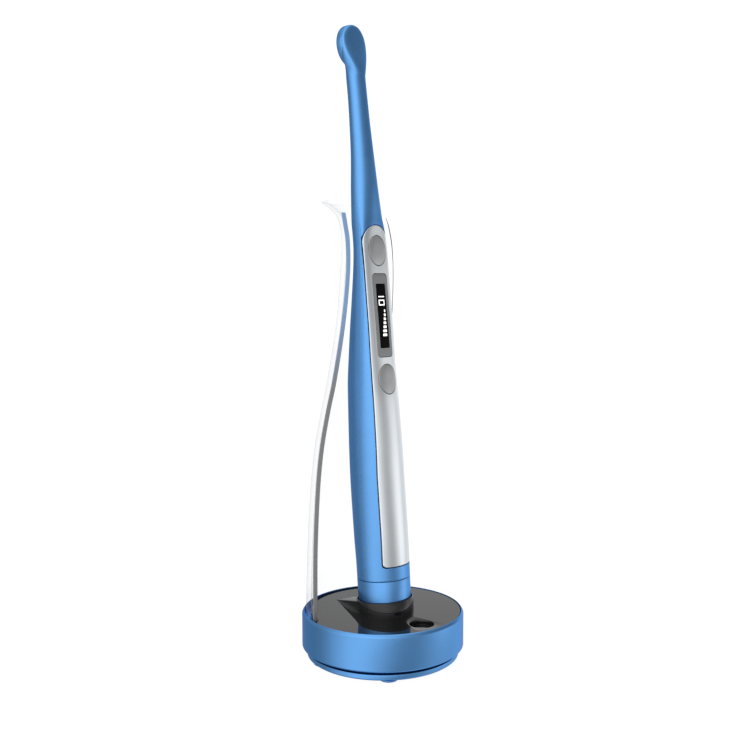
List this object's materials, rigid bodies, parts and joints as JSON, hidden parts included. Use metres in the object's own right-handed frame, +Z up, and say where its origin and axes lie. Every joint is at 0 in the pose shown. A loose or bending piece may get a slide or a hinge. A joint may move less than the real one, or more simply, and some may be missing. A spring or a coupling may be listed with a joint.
{
  "type": "dental curing light",
  "caption": "Cordless pen-shaped dental curing light leaning in a round charging stand, with display panel, oval buttons and a clear shield.",
  "frame": {"origin": "centre of the round stand's footprint, on the table", "axes": "+Z up; the socket and the handpiece lean towards +Y, and the front panel faces -Y and a little -X"},
  "size_m": [0.07, 0.07, 0.2707],
  "materials": {
    "blue_anodised": "satin blue anodised, bead blasted",
    "silver_anodised": "satin silver anodised",
    "grey_button": "satin moulded grey",
    "grey_bezel": "satin grey",
    "black_gloss": "piano black gloss",
    "black_plastic": "matt black",
    "display_black": "gloss black display cover",
    "clear_plastic": "clear moulded acrylic",
    "optical_glass": "polished optical",
    "rubber": "matt moulded",
    "circuit_green": "solder mask",
    "steel": "plated steel",
    "gold": "gold plated",
    "copper": "bare copper",
    "battery_wrap": "heat shrink film",
    "mirror_coat": "vacuum metallised",
    "red_wire": "insulated wire",
    "phosphor": "LED phosphor",
    "frame_plastic": "moulded natural plastic"
  },
  "bodies": {
    "stand": {"base_ring": "blue_anodised", "top_plate": "black_gloss", "bottom_cover": "blue_anodised", "ballast_plate": "steel", "base_pcb": "circuit_green", "dc_jack": "black_plastic", "sensor_window": "optical_glass", "light_sensor": "black_plastic", "pin_barrel_1": "gold", "pin_barrel_2": "gold", "foot_1": "rubber", "foot_2": "rubber", "foot_3": "rubber", "foot_4": "rubber", "foot_5": "rubber", "base_screw_1": "steel", "base_screw_2": "steel", "base_screw_3": "steel"},
    "handpiece": {"handpiece_shell": "blue_anodised", "front_panel": "silver_anodised", "display_bezel": "grey_bezel", "display_window": "display_black", "display_module": "display_black", "power_switch": "black_plastic", "mode_switch": "black_plastic", "main_pcb": "circuit_green", "buzzer": "black_plastic", "battery_cell": "battery_wrap", "battery_sleeve": "frame_plastic", "battery_spring": "steel", "tail_cap": "blue_anodised", "tail_seal": "rubber", "charge_board": "circuit_green", "tail_insulator": "black_plastic", "contact_pad": "gold", "contact_ring": "gold", "heat_sink": "copper", "led_board": "circuit_green", "led_die": "phosphor", "reflector": "mirror_coat", "lens": "optical_glass", "lens_ring": "black_plastic", "led_wire_1": "black_plastic", "led_wire_2": "red_wire"},
    "power_button": {"power_button": "grey_button"},
    "mode_button": {"mode_button": "grey_button"},
    "contact_pin_1": {"contact_pin_1": "gold"},
    "contact_pin_2": {"contact_pin_2": "gold"},
    "clear_shield": {"clear_shield": "clear_plastic"}
  },
  "joints": [
    {"name": "handpiece_lift", "type": "slide", "parent": "stand", "child": "handpiece", "axis": [0, 0.0645, 0.9979], "range_m": [0, 0.015]},
    {"name": "power_press", "type": "slide", "parent": "handpiece", "child": "power_button", "axis": [0.1564, 0.9856, -0.0637], "range_m": [0, 0.0003], "stiffness_N_per_m": 4000},
    {"name": "mode_press", "type": "slide", "parent": "handpiece", "child": "mode_button", "axis": [0.1564, 0.9856, -0.0637], "range_m": [0, 0.0003], "stiffness_N_per_m": 4000},
    {"name": "pin_1_travel", "type": "slide", "parent": "stand", "child": "contact_pin_1", "axis": [0, 0.0645, 0.9979], "range_m": [-0.0008, 0]},
    {"name": "pin_2_travel", "type": "slide", "parent": "stand", "child": "contact_pin_2", "axis": [0, 0.0645, 0.9979], "range_m": [-0.0008, 0]},
    {"name": "shield_lift", "type": "slide", "parent": "stand", "child": "clear_shield", "axis": [0, 0, 1], "range_m": [0, 0.005]}
  ]
}
